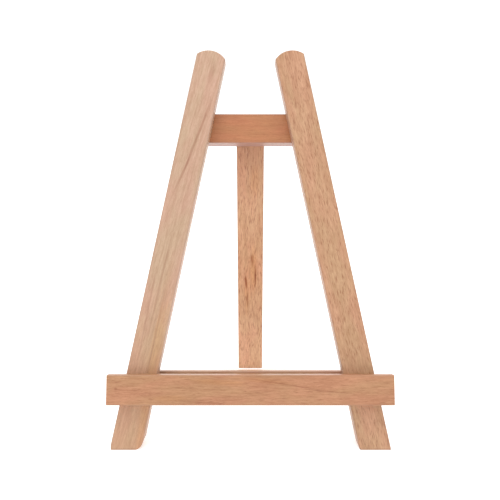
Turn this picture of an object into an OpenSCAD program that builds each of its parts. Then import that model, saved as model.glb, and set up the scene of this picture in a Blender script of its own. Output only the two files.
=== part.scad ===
// Folding tabletop display easel in beech. Two splayed front legs carry a crossbar and a lower rail
// on their backs and a picture ledge on their fronts. A single rear leg hangs from a small brass
// butt hinge behind the crossbar, stands 28 degrees open and folds flat against the frame.
// The origin is on the floor under the middle of the standing easel, and the front faces -Y.
//
// "Frame coordinates" below lean back with the frame: X runs across it, Y is the depth behind the
// legs' front faces, and Z is the distance up the frame from the front edge of the feet.

/* [Front legs] */
// Thickness of every board but the ledge
board_thickness = 12.5; // [11.5:0.5:13.5]
// Width of the front legs
leg_width = 24; // [22:0.5:26]
// Length of a front leg along its axis, from the floor to its crown
leg_length = 326; // [315:1:340]
// Distance between the axes of the front legs at the floor
foot_spacing = 193.6; // [188:0.2:200]
// Angle of each front leg towards the middle
leg_splay = 11.6; // [11:0.1:12]
// Angle of the standing frame back from the vertical
frame_lean = 20; // [17:0.5:22]
// Radius of the rounded crown of a front leg, a little more than half its width
crown_radius = 16.5; // [14:0.5:20]
// Radius of the arc at the inner corner of the left foot
left_foot_radius = 6.5; // [4:0.5:12]
// Height above the floor where that arc leaves the leg's side
left_foot_rise = 5.5; // [3:0.5:8]
// Radius of the arc at the outer corner of the left foot
left_toe_radius = 12; // [8:1:20]
// Height above the floor where that arc leaves the leg's side
left_toe_rise = 5; // [2:0.5:6]
// Radius of the rounded inner corner of the right foot
right_foot_radius = 1.5; // [0.5:0.5:6]
// Radius sanded on every long edge of the boards
edge_radius = 0.8; // [0.4:0.1:1.2]

/* [Crossbar, ledge and rail] */
// Height of the crossbar board
crossbar_height = 24.5; // [23:0.5:28]
// Distance up the frame to the crossbar's lower edge
crossbar_bottom = 245.7; // [235:0.1:255]
// Length of the picture ledge
ledge_length = 220.5; // [215:0.5:235]
// Thickness of the ledge board
ledge_thickness = 10; // [9.5:0.5:12.5]
// Height of the ledge board, and of the lower rail behind it
ledge_height = 23; // [21:0.5:25]
// Distance up the frame to the ledge's lower edge
ledge_bottom = 35.2; // [30:0.1:60]
// How much higher than the ledge the rail sits
rail_lift = 0.7; // [0:0.1:2]
// How far the ends of the crossbar and rail stop short of the legs' outer edges
bar_end_inset = 1; // [0.5:0.1:3]

/* [Rear leg] */
// Width of the rear leg
rear_leg_width = 23.5; // [22:0.5:26]
// Angle between the frame and the rear leg when the easel stands
opening = 28; // [26:0.5:30]
// Length of the taper at the top of the rear leg, along the cut
taper_length = 19; // [17:0.5:20]

/* [Hinge] */
// Width of the butt hinge
hinge_width = 20; // [18:0.5:21]
// Height of each hinge leaf, from the pin to its free edge
leaf_height = 15; // [14:0.5:16]
// Thickness of the leaf sheet
leaf_thickness = 0.8; // [0.6:0.1:0.9]
// Outer radius of the hinge knuckles
knuckle_radius = 1.4; // [1.3:0.05:1.45]
// Radius of the hinge pin
pin_radius = 0.7; // [0.6:0.05:0.75]
// Distance from the pin up the frame to the crossbar's lower edge
hinge_rise = 2.5; // [2:0.1:4]

/* [Screws] */
// Length of the screws that hold the crossbar
crossbar_screw_length = 20; // [18:1:22]
// Length of the screws that run through rail, leg and ledge
rail_screw_length = 30; // [30:1:32]
// Outer radius of the board screws' thread
board_thread_radius = 1.5; // [1.25:0.05:1.75]
// Head radius of the board screws
board_head_radius = 3; // [2.6:0.1:3.4]
// Length of the hinge screws
hinge_screw_length = 7; // [6:0.5:8]

/* [Hidden] */
$fn = 48;

// Spare length that lets a cutting solid pass right through a board
spare = 10;

// Front legs
right_toe = [0.5, 0.5];
foot_x = foot_spacing / 2;
crown_centre = leg_length - crown_radius;
bar_depth = board_thickness;
bar_back = 2 * board_thickness;

// Crossbar, ledge and rail
crossbar_middle = crossbar_bottom + crossbar_height / 2;
ledge_middle = ledge_bottom + ledge_height / 2;
bar_end_x = foot_x + leg_width / 2 / cos(leg_splay) - bar_end_inset;

// Hinge: each leaf's near face is leaf_offset from the pin's axis, its wood face pivot_gap from it
pivot_gap = knuckle_radius + 0.3;
leaf_offset = pivot_gap - leaf_thickness;
pivot_height = crossbar_bottom + hinge_rise;
pivot_depth = bar_back + pivot_gap;
pivot_y = pivot_height * sin(frame_lean) + pivot_depth * cos(frame_lean);
pivot_z = pivot_height * cos(frame_lean) - pivot_depth * sin(frame_lean);
knuckle_gap = 0.3;
middle_knuckle = hinge_width * 0.37;
notch_height = knuckle_radius + 0.35;
leaf_corner = 1.5;
pin_running_fit = 0.05;
pin_seat_fit = 0.01;
pin_head_radius = 1.2;
pin_head_height = 0.6;
pin_overhang = 0.4;
leaf_screw_x = hinge_width * 0.275;
leaf_screw_z = 9;

// The open hinge's leaves meet at their free edges, stop_gap apart: that is the leg's stop.
// leaf_angle is the angle left between the two leaves there.
stop_gap = 0.05;
leaf_reach = sqrt(pow(leaf_offset, 2) + pow(leaf_height, 2));
leaf_angle = acos((stop_gap - leaf_offset) / leaf_reach) - atan(leaf_height / leaf_offset);

// Rear leg: the taper makes room for the hinge and turns the leg's top away from the crossbar
rear_lean = opening - frame_lean;
taper_angle = opening - leaf_angle;
taper_start = 0.5;
rear_face = pivot_gap * cos(taper_angle) + taper_start * sin(taper_angle);
rear_corner = taper_start * cos(taper_angle) - pivot_gap * sin(taper_angle);
rear_top = rear_corner + taper_length * cos(taper_angle);
rear_drop = pivot_z / cos(rear_lean) + spare;

// Depth on the floor from the front feet to the back of the rear foot
stand_depth = pivot_y + pivot_z * tan(rear_lean) + (rear_face + board_thickness) / cos(rear_lean);
front_y = -stand_depth / 2;

// Screws
screw_sink = 0.3;
screw_pitch = 1.35;
hinge_thread_radius = 1;
hinge_head_radius = 1.9;
hinge_screw_pitch = 0.9;
seat_gap = 0.05;
crossbar_screw_step = 6;
rail_screw_step = 5.5;

pale_beech = [0.84, 0.70, 0.60];
warm_beech = [0.81, 0.63, 0.50];
red_beech = [0.76, 0.53, 0.38];
pink_beech = [0.78, 0.58, 0.45];
brass = [0.80, 0.66, 0.36];
zinc = [0.76, 0.76, 0.74];

// Places its children in frame coordinates.
module at_frame() {
    translate([0, front_y, 0]) rotate([-frame_lean, 0, 0]) children();
}

// Places its children on the pin's axis, tilted back from the vertical by an angle.
module at_pivot(tilt) {
    translate([0, front_y + pivot_y, pivot_z]) rotate([-tilt, 0, 0]) children();
}

// Coordinates of the leaf on the crossbar: +Y points away from the crossbar.
module at_frame_leaf() {
    at_pivot(frame_lean) children();
}

// Coordinates of the leaf on the rear leg: +Y points into the leg's tapered face.
module at_leg_leaf() {
    at_pivot(frame_lean - leaf_angle) children();
}

// Everything below the floor, for cutting the feet flat.
module below_floor() {
    size = 2 * leg_length;
    translate([-size / 2, -size / 2, -size]) cube(size);
}

// A board standing on Z: centred across X, from Y = 0 back to its thickness, long edges sanded.
module board(width, length, thickness = board_thickness) {
    linear_extrude(length) difference() {
        translate([-width / 2, 0]) square([width, thickness]);
        for (side = [-1, 1], back = [0, 1]) {
            corner = [side * width / 2, back * thickness];
            inward = [-side, 1 - 2 * back];
            difference() {
                translate(corner) square(2 * edge_radius, center = true);
                translate(corner + edge_radius * inward) circle(edge_radius);
            }
        }
    }
}

// A board lying across the frame, centred, with its front face at a depth.
module cross_board(height, length, middle, depth, thickness = board_thickness) {
    translate([-length / 2, depth, middle]) rotate([0, 90, 0]) board(height, length, thickness);
}

// The space between the legs' outer edges, which trims the ends of the crossbar and rail.
module between_outer_edges() {
    top_x = bar_end_x - leg_length * tan(leg_splay);
    outline = [[-bar_end_x, 0], [bar_end_x, 0], [top_x, leg_length], [-top_x, leg_length]];
    translate([0, bar_back + spare, 0]) rotate([90, 0, 0])
        linear_extrude(bar_back + 2 * spare) polygon(outline);
}

// X of a leg's axis at a distance up the frame
function leg_axis_x(up) = foot_x - up * tan(leg_splay);

// A countersunk screw that points down from its head's flat top at Z = 0. Its thread is a row of
// sharp ridges, and a cross is sunk in its head.
module countersunk_screw(length, thread_radius, head_radius, pitch) {
    core = 0.68 * thread_radius;
    shank = 0.8 * thread_radius;
    rim = 0.08 * head_radius;
    plain = 0.3 * length;
    tip = 1.6 * thread_radius;
    turns = floor((length - plain - tip) / pitch);
    thread_top = -(length - tip - turns * pitch);
    ridges = [
        for (turn = [0 : turns - 1], step = [0.15, 0.5, 0.85])
            [step == 0.5 ? thread_radius : core, thread_top - (turn + step) * pitch]
    ];
    recess = [1.1 * head_radius, 0.27 * head_radius, 0.9 * head_radius];
    difference() {
        rotate_extrude() polygon(concat(
            [[0, 0], [head_radius, 0], [head_radius, -rim], [shank, shank - head_radius - rim],
             [shank, thread_top], [core, thread_top]],
            ridges,
            [[core, tip - length], [0, -length]]
        ));
        cube(recess, center = true);
        rotate([0, 0, 90]) cube(recess, center = true);
    }
}

// The hole for such a screw: a countersink, a clearance hole to clear_depth, then a pilot hole.
module screw_seat(length, thread_radius, head_radius, clear_depth) {
    top = head_radius + seat_gap;
    clear = thread_radius + seat_gap;
    pilot = 0.68 * thread_radius + seat_gap;
    rim = 0.08 * head_radius;
    translate([0, 0, -rim]) cylinder(h = spare, r = top);
    translate([0, 0, clear - top - rim]) cylinder(h = top - clear, r1 = clear, r2 = top);
    translate([0, 0, -clear_depth]) cylinder(h = clear_depth, r = clear);
    translate([0, 0, -length - seat_gap]) cylinder(h = length, r = pilot);
}

// Places its children on a board screw's head, on the back of the crossbar or rail. side is -1 on
// the left and 1 on the right.
module at_board_screw(side, up) {
    at_frame() translate([side * leg_axis_x(up), bar_back - screw_sink, up])
        rotate([-90, 0, 0]) children();
}

function crossbar_screw_up(row) = crossbar_middle + row * crossbar_screw_step;
function rail_screw_up(row) = ledge_middle + row * rail_screw_step;

module board_screw_seats(side) {
    clear_depth = board_thickness - screw_sink;
    for (row = [-1, 1]) {
        at_board_screw(side, crossbar_screw_up(row))
            screw_seat(crossbar_screw_length, board_thread_radius, board_head_radius, clear_depth);
        at_board_screw(side, rail_screw_up(row))
            screw_seat(rail_screw_length, board_thread_radius, board_head_radius, clear_depth);
    }
}

// Places its children on a leaf screw's head, in the coordinates of its leaf: the screw points
// to +Y through the leaf into the wood.
module at_leaf_screw(side) {
    translate([side * leaf_screw_x, leaf_offset, leaf_screw_z]) rotate([90, 0, 0]) children();
}

module leaf_screw() {
    countersunk_screw(hinge_screw_length, hinge_thread_radius, hinge_head_radius, hinge_screw_pitch);
}

module leaf_screw_seats() {
    for (side = [-1, 1]) {
        at_leaf_screw(side)
            screw_seat(hinge_screw_length, hinge_thread_radius, hinge_head_radius, leaf_thickness);
    }
}

// Turns a leaf's coordinates round, so that its wood face lies against the crossbar.
module facing_crossbar() {
    at_frame_leaf() mirror([0, 1, 0]) children();
}

// The waste at a corner of the right foot: the inner corner where side is 1, the outer where it is
// -1. The corner's edge runs back along the floor, turned by edge_turn, and the leg's side leans
// by side_lean from there. The arc leaves that side at a height of rise, or lower where it meets
// the floor smoothly.
module foot_corner_waste(side, radius, rise) {
    edge_turn = atan(tan(leg_splay) * sin(frame_lean));
    side_lean = side * atan(tan(leg_splay) * cos(frame_lean) * cos(edge_turn));
    into_wood = [cos(side_lean), sin(side_lean)];
    start_up = min(rise, radius * (1 - sin(side_lean)));
    start = [-start_up * tan(side_lean), start_up];
    centre = start + radius * into_wood;
    outside = start - 2 * into_wood;
    translate([foot_x - side * leg_width / 2 / cos(leg_splay), front_y, 0]) rotate([0, 0, edge_turn])
        mirror([side > 0 ? 0 : 1, 0, 0]) translate([0, board_thickness + spare, 0])
            rotate([90, 0, 0]) linear_extrude(board_thickness + 2 * spare) difference() {
                polygon([[centre[0], -2], centre, outside, [outside[0], -2]]);
                translate(centre) circle(radius);
            }
}

// The right front leg, cut flat at the floor, with a rounded crown and eased foot corners. inner
// and toe are the [radius, rise] of its inner and its outer corner.
module front_leg(inner, toe) {
    difference() {
        at_frame() translate([foot_x, 0, 0]) rotate([0, -leg_splay, 0]) intersection() {
            translate([0, 0, -spare]) board(leg_width, leg_length + spare);
            union() {
                translate([-leg_width, -1, -spare])
                    cube([2 * leg_width, board_thickness + 2, crown_centre + spare]);
                translate([0, -1, crown_centre]) rotate([-90, 0, 0])
                    cylinder(h = board_thickness + 2, r = crown_radius);
            }
        }
        below_floor();
        foot_corner_waste(1, inner[0], inner[1]);
        foot_corner_waste(-1, toe[0], toe[1]);
        board_screw_seats(1);
    }
}

module left_leg() {
    color(pale_beech) mirror([1, 0, 0])
        front_leg([left_foot_radius, left_foot_rise], [left_toe_radius, left_toe_rise]);
}

module right_leg() {
    color(warm_beech) front_leg([right_foot_radius, right_foot_radius], right_toe);
}

module crossbar() {
    color(red_beech) difference() {
        at_frame() intersection() {
            cross_board(crossbar_height, 2 * bar_end_x, crossbar_middle, bar_depth);
            between_outer_edges();
        }
        board_screw_seats(-1);
        board_screw_seats(1);
        facing_crossbar() leaf_screw_seats();
    }
}

module lower_rail() {
    color(pink_beech) difference() {
        at_frame() intersection() {
            cross_board(ledge_height, 2 * bar_end_x, ledge_middle + rail_lift, bar_depth);
            between_outer_edges();
        }
        board_screw_seats(-1);
        board_screw_seats(1);
    }
}

module ledge() {
    color(pink_beech) difference() {
        at_frame()
            cross_board(ledge_height, ledge_length, ledge_middle, -ledge_thickness, ledge_thickness);
        board_screw_seats(-1);
        board_screw_seats(1);
    }
}

module rear_leg() {
    color(warm_beech) difference() {
        at_pivot(-rear_lean) translate([0, rear_face, -rear_drop])
            board(rear_leg_width, rear_drop + rear_top);
        at_leg_leaf()
            translate([-rear_leg_width, pivot_gap - 2 * rear_leg_width, -rear_leg_width])
            cube([2 * rear_leg_width, 2 * rear_leg_width, 3 * rear_leg_width]);
        at_leg_leaf() leaf_screw_seats();
        below_floor();
    }
}

// A knuckle around the pin's axis, from one X to another.
module knuckle(from_x, to_x, radius) {
    translate([from_x, 0, 0]) rotate([0, 90, 0]) cylinder(h = to_x - from_x, r = radius);
}

// The waste outside the rounded free corner of a leaf, at +X.
module leaf_corner_waste() {
    translate([hinge_width / 2, pivot_gap + 1, leaf_height]) rotate([90, 0, 0])
        linear_extrude(leaf_thickness + 2) difference() {
            square(2 * leaf_corner, center = true);
            translate([-leaf_corner, -leaf_corner]) circle(leaf_corner);
        }
}

// A sheet leaf that runs up from the pin, with its wood face at +Y, and its own knuckles.
// own and other are lists of knuckle spans, [from X, to X].
module hinge_leaf(own, other, pin_fit) {
    difference() {
        union() {
            difference() {
                translate([-hinge_width / 2, leaf_offset, 0])
                    cube([hinge_width, leaf_thickness, leaf_height]);
                for (span = other) {
                    translate([span[0] - knuckle_gap, -knuckle_radius, -notch_height])
                        cube([span[1] - span[0] + 2 * knuckle_gap, 2 * pivot_gap, 2 * notch_height]);
                }
            }
            for (span = own) knuckle(span[0], span[1], knuckle_radius);
        }
        knuckle(-hinge_width, hinge_width, pin_radius + pin_fit);
        leaf_screw_seats();
        leaf_corner_waste();
        mirror([1, 0, 0]) leaf_corner_waste();
    }
}

middle_span = [-middle_knuckle / 2, middle_knuckle / 2];
right_span = [middle_knuckle / 2 + knuckle_gap, hinge_width / 2];
left_span = [-right_span[1], -right_span[0]];

module hinge_leaf_frame() {
    color(brass) facing_crossbar() hinge_leaf([left_span, right_span], [middle_span], pin_seat_fit);
}

module hinge_leaf_leg() {
    color(brass) at_leg_leaf() hinge_leaf([middle_span], [left_span, right_span], pin_running_fit);
}

module hinge_pin() {
    head_x = -hinge_width / 2 - pin_seat_fit;
    color(brass) at_frame_leaf() {
        knuckle(head_x, hinge_width / 2 + pin_overhang, pin_radius);
        knuckle(head_x - pin_head_height, head_x, pin_head_radius);
    }
}

module crossbar_screw(side, row) {
    color(zinc) at_board_screw(side, crossbar_screw_up(row))
        countersunk_screw(crossbar_screw_length, board_thread_radius, board_head_radius, screw_pitch);
}

module rail_screw(side, row) {
    color(zinc) at_board_screw(side, rail_screw_up(row))
        countersunk_screw(rail_screw_length, board_thread_radius, board_head_radius, screw_pitch);
}

module frame_leaf_screw(side) {
    color(brass) facing_crossbar() at_leaf_screw(side) leaf_screw();
}

module leg_leaf_screw(side) {
    color(brass) at_leg_leaf() at_leaf_screw(side) leaf_screw();
}

left_leg();
right_leg();
crossbar();
lower_rail();
ledge();
rear_leg();
hinge_leaf_frame();
hinge_leaf_leg();
hinge_pin();
crossbar_screw(-1, -1);  // crossbar_screw_left_low
crossbar_screw(-1, 1);  // crossbar_screw_left_high
crossbar_screw(1, -1);  // crossbar_screw_right_low
crossbar_screw(1, 1);  // crossbar_screw_right_high
rail_screw(-1, -1);  // rail_screw_left_low
rail_screw(-1, 1);  // rail_screw_left_high
rail_screw(1, -1);  // rail_screw_right_low
rail_screw(1, 1);  // rail_screw_right_high
frame_leaf_screw(-1);  // frame_leaf_screw_left
frame_leaf_screw(1);  // frame_leaf_screw_right
leg_leaf_screw(-1);  // leg_leaf_screw_left
leg_leaf_screw(1);  // leg_leaf_screw_right
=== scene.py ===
"""Looks of a folding beech display easel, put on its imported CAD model.

Lengths are in metres, or in millimetres where a comment says so.
"""
from math import radians

import bpy
from mathutils import Matrix, Vector


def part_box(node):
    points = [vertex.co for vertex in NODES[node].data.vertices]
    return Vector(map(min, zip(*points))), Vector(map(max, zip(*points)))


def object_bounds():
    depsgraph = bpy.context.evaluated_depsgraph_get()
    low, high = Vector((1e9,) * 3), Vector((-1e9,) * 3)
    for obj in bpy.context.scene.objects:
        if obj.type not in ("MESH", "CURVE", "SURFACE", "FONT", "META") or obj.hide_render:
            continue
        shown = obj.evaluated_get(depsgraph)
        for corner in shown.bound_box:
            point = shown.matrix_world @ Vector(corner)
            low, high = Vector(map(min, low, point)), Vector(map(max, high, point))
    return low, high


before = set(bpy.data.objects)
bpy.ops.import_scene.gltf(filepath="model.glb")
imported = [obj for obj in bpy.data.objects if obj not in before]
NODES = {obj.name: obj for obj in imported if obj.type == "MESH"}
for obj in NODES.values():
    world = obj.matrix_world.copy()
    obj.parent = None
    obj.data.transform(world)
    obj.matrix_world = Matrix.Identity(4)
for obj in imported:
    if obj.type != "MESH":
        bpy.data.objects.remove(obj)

CAD_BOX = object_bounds()
LOW, HIGH = (Vector(corner) for corner in CAD_BOX)
MM = 0.001

# Angles of the design, from which the boards' own axes are worked out
LEAN = radians(20)
SPLAY = radians(11.6)
REAR_LEAN = radians(8)

# Board sizes in millimetres, and where the middle of a front leg's foot stands across the floor
FOOT_X = 96.8
THICKNESS = 12.5
LEDGE_THICKNESS = 10.0
LEG_WIDTH = 24.0
REAR_WIDTH = 23.5
CROSSBAR_HEIGHT = 24.5
LEDGE_HEIGHT = 23.0

# Beech in millimetres: the gap between growth rings, and the cell that one ray fleck lies in
RING_GAP = 3.0
FLECK_WIDTH, FLECK_LENGTH = 0.68, 5.8

# Darkening in millimetres: the distance from an edge over which the edges' darkening fades out,
# the height above the floor over which the painted floor shade fades out, and how far in from
# its edge a side's painted sheen comes
EDGE_DARK_FROM, EDGE_DARK_TO = 0.5, 1.5
FLOOR_SHADE_FROM, FLOOR_SHADE_TO = 0.3, 1.3
SHEEN_REACH = 0.6

# Depth of the surface relief in millimetres
WOOD_RELIEF = 0.06
METAL_RELIEF = 0.02


def turn(angle, axis):
    return Matrix.Rotation(angle, 4, axis)


# ---------------------------------------------------------------- camera, floor and light

def make_camera():
    """The viewing point: in front of the easel, a little below its crowns, looking slightly down."""
    distance, height, side = 0.4203, 0.2715, -0.0003
    look_down = radians(14.86)
    sensor_mm, lens_mm = 36, 44.3
    data = bpy.data.cameras.new("camera")
    data.sensor_width = sensor_mm
    data.lens = lens_mm
    data.clip_start = 0.01
    camera = bpy.data.objects.new("camera", data)
    camera.location = (side, LOW.y - distance, height)
    camera.rotation_euler = (radians(90) - look_down, 0, 0)
    bpy.context.collection.objects.link(camera)
    bpy.context.scene.camera = camera


def make_floor():
    """A white table, lit a little from below as a light table is, so that shadows stay faint."""
    side, whiteness, glow = 8.0, 0.88, 0.45
    bpy.ops.mesh.primitive_plane_add(size=side, location=(0, 0, 0))
    floor = bpy.context.object
    floor.name = "floor"
    n = Nodes("floor_white")
    n.shader.inputs["Base Color"].default_value = (whiteness, whiteness, whiteness, 1)
    n.shader.inputs["Roughness"].default_value = 0.9
    n.shader.inputs["Specular IOR Level"].default_value = 0.2
    n.shader.inputs["Emission Color"].default_value = (1, 1, 1, 1)
    n.shader.inputs["Emission Strength"].default_value = glow
    floor.data.materials.append(n.material)


def area_light(name, place, size, watts):
    data = bpy.data.lights.new(name, "AREA")
    data.shape = "DISK"
    data.size = size
    data.energy = watts
    light = bpy.data.objects.new(name, data)
    light.location = place
    aim = Vector((0, 0, HIGH.z / 2)) - Vector(place)
    light.rotation_euler = aim.to_track_quat("-Z", "Y").to_euler()
    bpy.context.collection.objects.link(light)


def make_lights():
    """A white studio all round, a little brighter behind the easel, and a soft box above it."""
    front_strength, back_strength = 1.0, 1.24
    front_y, back_y = -0.5, 0.6
    world = bpy.data.worlds.new("studio")
    world.use_nodes = True
    tree = world.node_tree
    direction = tree.nodes.new("ShaderNodeTexCoord").outputs["Generated"]
    split = tree.nodes.new("ShaderNodeSeparateXYZ")
    ramp = tree.nodes.new("ShaderNodeMapRange")
    ramp.interpolation_type = "SMOOTHSTEP"
    ramp.inputs["From Min"].default_value = front_y
    ramp.inputs["From Max"].default_value = back_y
    ramp.inputs["To Min"].default_value = front_strength
    ramp.inputs["To Max"].default_value = back_strength
    background = tree.nodes["Background"]
    background.inputs["Color"].default_value = (1, 1, 1, 1)
    tree.links.new(direction, split.inputs[0])
    tree.links.new(split.outputs["Y"], ramp.inputs["Value"])
    tree.links.new(ramp.outputs[0], background.inputs["Strength"])
    bpy.context.scene.world = world
    area_light("top", (-0.25, -0.1, 1.6), 1.0, 10)
    bpy.context.scene.view_settings.view_transform = "Standard"


# ---------------------------------------------------------------- material node helpers

class Nodes:
    """A material's node tree, with short calls for the nodes that the finishes use."""

    def __init__(self, name):
        self.material = bpy.data.materials.new(name)
        self.material.use_nodes = True
        self.tree = self.material.node_tree
        self.shader = self.tree.nodes["Principled BSDF"]

    def add(self, kind, inputs=(), **settings):
        node = self.tree.nodes.new(kind)
        for key, value in settings.items():
            setattr(node, key, value)
        for key, value in dict(inputs).items():
            self.put(node.inputs[key], value)
        return node

    def put(self, socket, value):
        if isinstance(value, bpy.types.NodeSocket):
            self.tree.links.new(value, socket)
        else:
            socket.default_value = value

    def math(self, operation, a, b=0.0, c=0.0):
        return self.add("ShaderNodeMath", {0: a, 1: b, 2: c}, operation=operation).outputs[0]

    def split(self, vector):
        return self.add("ShaderNodeSeparateXYZ", {0: vector}).outputs

    def spread(self, vector, lengths):
        """The vector divided by a length along each axis, so that a pattern is that long there."""
        inputs = {0: vector, 1: tuple(1 / length for length in lengths)}
        return self.add("ShaderNodeVectorMath", inputs, operation="MULTIPLY").outputs[0]

    def placed(self, vector, location=(0, 0, 0), rotation=(0, 0, 0), scale=(1, 1, 1)):
        """The vector as measured in a box at location, turned by rotation, scale long each way."""
        inputs = {"Vector": vector, "Location": location, "Rotation": rotation, "Scale": scale}
        return self.add("ShaderNodeMapping", inputs, vector_type="TEXTURE").outputs[0]

    def noise(self, vector, detail=2.0, roughness=0.5):
        inputs = {"Vector": vector, "Scale": 1.0, "Detail": detail, "Roughness": roughness}
        return self.add("ShaderNodeTexNoise", inputs).outputs["Fac"]

    def smooth(self, value, low, high, to_low=0.0, to_high=1.0):
        inputs = {"Value": value, "From Min": low, "From Max": high,
                  "To Min": to_low, "To Max": to_high}
        return self.add("ShaderNodeMapRange", inputs, interpolation_type="SMOOTHSTEP").outputs[0]

    def mix(self, factor, a, b, blend="MIX"):
        node = self.add("ShaderNodeMix", data_type="RGBA", blend_type=blend)
        for index, value in ((0, factor), (6, a), (7, b)):
            self.put(node.inputs[index], value)
        return node.outputs[2]

    def facing(self, normal, direction):
        """How squarely a face looks along a direction, either way: 1 is straight along it."""
        inputs = {0: normal, 1: direction}
        dot = self.add("ShaderNodeVectorMath", inputs, operation="DOT_PRODUCT").outputs["Value"]
        return self.math("ABSOLUTE", dot)

    def bump(self, relief, strength, depth_mm):
        """Roughens the surface by a height pattern, depth_mm deep."""
        inputs = {"Height": relief, "Strength": strength, "Distance": depth_mm * MM}
        self.put(self.shader.inputs["Normal"], self.add("ShaderNodeBump", inputs).outputs[0])


# ---------------------------------------------------------------- beech

def shade(colour, *factors):
    """A colour with its red, green and blue multiplied."""
    return tuple(channel * factor for channel, factor in zip(colour, factors)) + (1,)


def beech(name, origin, axes, width, colour, ring_angle, seed, thickness=THICKNESS, contrast=1.0,
          run_out=0.0, line_length=30, fleck_share=0.3, fleck_depth=0.5, streaks_and_shade=(), warmth=(),
          sheen_side=(1, 0.0)):
    """Beech whose grain runs along a board's own Z. Pattern lengths are in millimetres.

    origin and axes place the board's coordinates: X across it, Y back through it from its front.
    The argument before warmth holds dark marks, which are streaks in the wood and also painted
    shade where another board shades this one, and warmth holds warmer stretches in it, each of
    them given as across, along, half width, half length, turn in degrees, depth. The last
    argument tells the edge whose side is greyer, a painted sheen for the grazing reflection of
    the bright surroundings, 1 for +X or -1 for -X, and how much greyer it is.
    """
    n = Nodes(name)
    coordinates = n.add("ShaderNodeTexCoord")
    board = n.placed(coordinates.outputs["Object"], origin, axes.to_euler(), (MM, MM, MM))
    offset = (17 * seed, 29 * seed, 311 * seed)
    wood = n.placed(board, offset, (0, radians(run_out), ring_angle))
    radial, tangential, along = n.split(wood)

    # Growth rings: layers across the radial direction, bent by slow changes along the tree
    bend = n.noise(n.spread(wood, (30, 30, 120)))
    wobble = n.noise(n.spread(wood, (6, 6, 40)))
    layer = n.math("MULTIPLY_ADD", bend, 14, radial)
    layer = n.math("MULTIPLY_ADD", wobble, 2.4, layer)
    rings = n.add("ShaderNodeTexNoise", {"W": n.math("DIVIDE", layer, RING_GAP), "Scale": 1.0,
                                         "Detail": 3.0, "Roughness": 0.6}, noise_dimensions="1D")
    ring = n.smooth(rings.outputs["Fac"], 0.28, 0.72)

    # Fibres: long lines along the grain, short dashes between them, and single pores
    lines = n.noise(n.spread(wood, (1.6, 1.6, line_length)), detail=3, roughness=0.7)
    line = n.smooth(lines, 0.34, 0.66)
    dashes = n.noise(n.spread(wood, (1.1, 1.1, 6.5)), roughness=0.7)
    dash = n.smooth(dashes, 0.36, 0.64)
    pores = n.noise(n.spread(wood, (0.2, 0.2, 2.6)), detail=1)

    # Ray flecks: thin plates on edge to the rings, seen as short dark spindles
    drift = n.math("MULTIPLY_ADD", wobble, 1.5, tangential)
    sheet = n.add("ShaderNodeCombineXYZ", {0: n.math("DIVIDE", drift, FLECK_WIDTH),
                                           1: n.math("DIVIDE", along, FLECK_LENGTH)}).outputs[0]
    cell = n.add("ShaderNodeTexVoronoi", {"Vector": sheet, "Scale": 1.0}, voronoi_dimensions="2D",
                 distance="MANHATTAN")
    chance = n.add("ShaderNodeSeparateColor", {0: cell.outputs["Color"]}).outputs[0]
    half_size = n.smooth(chance, 1 - fleck_share, 1.0, 0.05, 0.75)
    fleck = n.smooth(n.math("SUBTRACT", half_size, cell.outputs["Distance"]), 0.0, 0.3)
    reach = n.noise(n.spread(wood, (1.8, 1.2, 8)), detail=1)
    fleck = n.math("MULTIPLY", fleck, n.smooth(reach, 0.34, 0.5))

    # On faces that lie along the plates the flecks are wide, and only just darker
    normal = coordinates.outputs["Normal"]
    frame_axes = axes.to_3x3()
    across_plates = frame_axes @ Matrix.Rotation(ring_angle, 3, "Z") @ Vector((0, 1, 0))
    flat = n.smooth(n.facing(normal, across_plates), 0.4, 0.95, 1.0, 0.25)
    fleck = n.math("MULTIPLY", fleck, flat)

    # Colour: darker in the rings and lines, pinker and yellower in slow patches
    tone = n.math("MULTIPLY_ADD", ring, 0.3, n.math("MULTIPLY", line, 0.4))
    tone = n.math("MULTIPLY_ADD", dash, 0.3, tone)
    pale, deep = (shade(colour, *(1 + sign * contrast * step for step in (0.18, 0.25, 0.32)))
                  for sign in (1, -1))
    result = n.mix(tone, pale, deep)
    patch = n.smooth(n.noise(n.spread(wood, (14, 14, 42))), 0.34, 0.66)
    tint = n.mix(patch, (1.03, 0.97, 0.99, 1), (0.975, 1.025, 0.98, 1))
    result = n.mix(1.0, result, tint, "MULTIPLY")
    dark = shade(colour, 0.60, 0.44, 0.34)
    result = n.mix(n.smooth(pores, 0.58, 0.68, 0.0, 0.35), result, dark)
    result = n.mix(n.math("MULTIPLY", fleck, fleck_depth), result, dark)

    # Warmer stretches and dark streaks, ragged along their edges. Some dark marks are painted shade
    # where another board shades this one.
    warm, brown = shade((1, 1, 1), 1.0, 0.84, 0.55), shade((1, 1, 1), 0.5, 0.27, 0.14)
    for blotch, marks in ((warm, warmth), (brown, streaks_and_shade)):
        for across, high, half_thin, half_long, angle, depth in marks:
            half_sizes = (half_thin, thickness / 2, half_long)
            spot = n.placed(board, (across, 0, high), (0, radians(angle), 0), half_sizes)
            far = n.add("ShaderNodeVectorMath", {0: spot}, operation="LENGTH").outputs["Value"]
            far = n.math("ADD", n.math("SUBTRACT", lines, 0.5), far)
            result = n.mix(n.smooth(far, 0.25, 1.0, depth, 0.0), result, blotch, "MULTIPLY")
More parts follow.
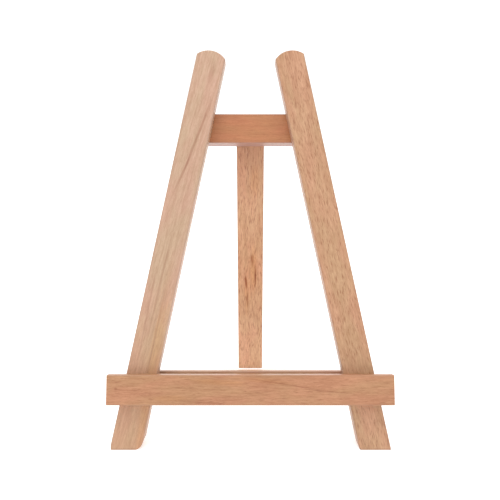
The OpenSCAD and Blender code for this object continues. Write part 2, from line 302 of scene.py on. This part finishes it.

    # End grain is darker, most of all in its rings, and so are the edges, and the foot of the board
    # with painted shade where it meets the floor. One side is greyer, a painted sheen for the
    # grazing reflection of the bright surroundings.
    end = n.smooth(n.facing(normal, frame_axes @ Vector((0, 0, 1))), 0.6, 0.95)
    end = n.math("MULTIPLY", end, n.math("MULTIPLY_ADD", ring, 0.35, 0.15))
    across, through, _ = n.split(board)
    # One side is greyer: painted sheen for the grazing reflection of the bright surroundings on that
    # side.
    sheen_edge, sheen_depth = sheen_side
    to_edge = n.math("MULTIPLY", across, sheen_edge)
    painted_sheen = n.smooth(to_edge, width / 2 - SHEEN_REACH, width / 2, 0.0, sheen_depth)
    result = n.mix(painted_sheen, result, (0.27, 0.19, 0.19, 1))
    # Darker and greyer towards the edges.
    from_side = n.math("SUBTRACT", width / 2, n.math("ABSOLUTE", across))
    from_face = n.math("SUBTRACT", thickness / 2,
                       n.math("ABSOLUTE", n.math("SUBTRACT", through, thickness / 2)))
    edge_darkening = n.smooth(n.math("ADD", from_side, from_face), EDGE_DARK_FROM, EDGE_DARK_TO, 0.3, 0.0)
    # Painted shade: darker in the last millimetre or so above the floor, where the foot meets it.
    above_floor = n.split(coordinates.outputs["Object"])[2]
    floor_shade = n.smooth(above_floor, FLOOR_SHADE_FROM * MM, FLOOR_SHADE_TO * MM, 0.4, 0.0)
    result = n.mix(n.math("MAXIMUM", end, floor_shade), result, dark)
    result = n.mix(edge_darkening, result, shade(colour, 0.74, 0.80, 0.95))
    n.put(n.shader.inputs["Base Color"], result)

    roughness = n.math("MULTIPLY_ADD", line, 0.12, 0.45)
    n.put(n.shader.inputs["Roughness"], n.math("MULTIPLY_ADD", fleck, -0.10, roughness))
    n.shader.inputs["Coat Weight"].default_value = 0.28
    n.shader.inputs["Coat Roughness"].default_value = 0.3
    relief = n.math("MULTIPLY_ADD", fleck, -0.5, pores)
    relief = n.math("MULTIPLY_ADD", lines, 0.8, relief)
    n.bump(relief, 0.3, WOOD_RELIEF)
    return n.material


def dress(node, material):
    mesh = NODES[node].data
    for slot in range(len(mesh.materials)):
        mesh.materials[slot] = material


def dress_front_legs():
    leaning = turn(-LEAN, "X")
    foot = Vector((FOOT_X * MM, LOW.y, 0))
    axes = leaning @ turn(SPLAY, "Y")
    bands = ((3.4, 256, 1.5, 42, 9, 0.5), (3.5, 308, 2.4, 12, 4, 0.3), (-2.2, 222, 1.4, 26, 12, 0.4),
             (-1, 130, 1.2, 70, 1, 0.3), (4, 90, 1.0, 60, 0, 0.3), (-6, 110, 0.9, 50, -1, 0.3))
    warmth = ((9, 50, 7, 120, -3, 0.5), (0, -10, 40, 150, 0, 0.4))
    dress("left_leg", beech("beech_left", foot * Vector((-1, 1, 1)), axes, LEG_WIDTH,
                            (0.467, 0.293, 0.196), ring_angle=radians(35), seed=1.0, contrast=0.85,
                            run_out=3, line_length=34, fleck_share=0.1, fleck_depth=0.3,
                            streaks_and_shade=bands, warmth=warmth))
    axes = leaning @ turn(-SPLAY, "Y")
    dress("right_leg", beech("beech_right", foot, axes, LEG_WIDTH, (0.462, 0.252, 0.138),
                             ring_angle=radians(84), seed=2.0, line_length=16,
                             fleck_share=0.7, fleck_depth=0.8, sheen_side=(-1, 0.25)))


def dress_cross_boards():
    leaning = turn(-LEAN, "X")
    lying = leaning @ turn(radians(90), "Y")
    marks = ((-1.1, -103, 1.8, 1.8, 0, 0.4), (9.3, -36, 0.9, 22, 4, 0.35),
             (-5.5, 20, 0.9, 26, 9, 0.35), (-2.2, 42, 0.8, 20, 9, 0.3),
             (1.0, 62, 0.9, 26, 5, 0.3), (2.5, -80, 0.8, 24, -2, 0.25))
    warmth = ((-6, -25, 3, 30, 3, 0.4), (6, -62, 3, 20, 0, 0.3), (-7, 12, 3, 26, 6, 0.35))
    crossbar = dict(colour=(0.415, 0.162, 0.066), ring_angle=radians(40), seed=3.0, contrast=0.6,
                    line_length=22, fleck_share=0.2, fleck_depth=0.4, sheen_side=(1, 0.6))
    lower_rail = dict(colour=(0.465, 0.255, 0.155), ring_angle=radians(70), seed=4.0, contrast=0.8)
    ledge = dict(colour=(0.416, 0.197, 0.096), ring_angle=radians(78), seed=5.0,
                 thickness=LEDGE_THICKNESS, run_out=-3, line_length=22, streaks_and_shade=marks,
                 warmth=warmth)
    boards = (("crossbar", CROSSBAR_HEIGHT, crossbar), ("lower_rail", LEDGE_HEIGHT, lower_rail),
              ("ledge", LEDGE_HEIGHT, ledge))
    for node, height, look in boards:
        low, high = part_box(node)
        middle = (Vector(low) + Vector(high)) / 2
        front = leaning @ Vector((0, look.get("thickness", THICKNESS) / 2 * MM, 0))
        dress(node, beech("beech_" + node, middle - front, lying, height, **look))


def dress_rear_leg():
    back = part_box("rear_leg")[1][1]
    axes = turn(REAR_LEAN, "X")
    foot = Vector((0, back, 0)) - axes @ Vector((0, THICKNESS * MM, 0))
    # The last dark mark, high on the leg, is painted shade where the crossbar shades its top; the
    # others are streaks in the wood.
    streaks_and_shade = ((-4.0, 97, 1.4, 10, -5, 1.0), (4.6, 104, 1.2, 16, 0, 1.0), (1.8, 120, 2.0, 8, -3, 0.7),
               (-2.6, 78, 1.3, 14, -2, 0.6), (0, 250, 60, 80, 0, 0.5))
    warmth = ((3, 110, 5, 30, 0, 0.5), (-3, 85, 4, 30, 0, 0.4), (4, 195, 6, 20, 0, 0.4))
    dress("rear_leg", beech("beech_rear", foot, axes, REAR_WIDTH, (0.565, 0.302, 0.168),
                            ring_angle=radians(80), seed=6.0, contrast=1.1, line_length=14,
                            fleck_share=0.7, fleck_depth=0.85, streaks_and_shade=streaks_and_shade, warmth=warmth))


# ---------------------------------------------------------------- hinge and screws

def metal(name, bright, dull, roughness, scale_mm):
    """Metal brushed along X and dulled in patches, with patterns of about scale_mm."""
    n = Nodes(name)
    coordinates = n.add("ShaderNodeTexCoord").outputs["Object"]
    small = scale_mm * MM
    blotch = n.smooth(n.noise(n.spread(coordinates, (6 * small,) * 3), detail=4), 0.35, 0.7)
    brush = n.noise(n.spread(coordinates, (12 * small, 0.6 * small, 0.6 * small)))
    n.put(n.shader.inputs["Base Color"], n.mix(blotch, bright, dull))
    n.shader.inputs["Metallic"].default_value = 1.0
    level = n.math("MULTIPLY_ADD", blotch, 0.14, roughness)
    n.put(n.shader.inputs["Roughness"], n.math("MULTIPLY_ADD", brush, 0.12, level))
    n.bump(brush, 0.25, METAL_RELIEF)
    return n.material


def dress_metal():
    brass = metal("brass_satin", (0.80, 0.60, 0.27, 1), (0.55, 0.38, 0.16, 1), 0.28, 0.5)
    screw_brass = metal("brass_screw", (0.78, 0.58, 0.26, 1), (0.50, 0.35, 0.15, 1), 0.22, 0.3)
    zinc = metal("zinc_screw", (0.70, 0.70, 0.68, 1), (0.48, 0.47, 0.44, 1), 0.24, 0.3)
    for node in NODES:
        if node.startswith("hinge"):
            dress(node, brass)
        elif "leaf_screw" in node:
            dress(node, screw_brass)
        elif "screw" in node:
            dress(node, zinc)


make_camera()
make_floor()
make_lights()
dress_front_legs()
dress_cross_boards()
dress_rear_leg()
dress_metal()
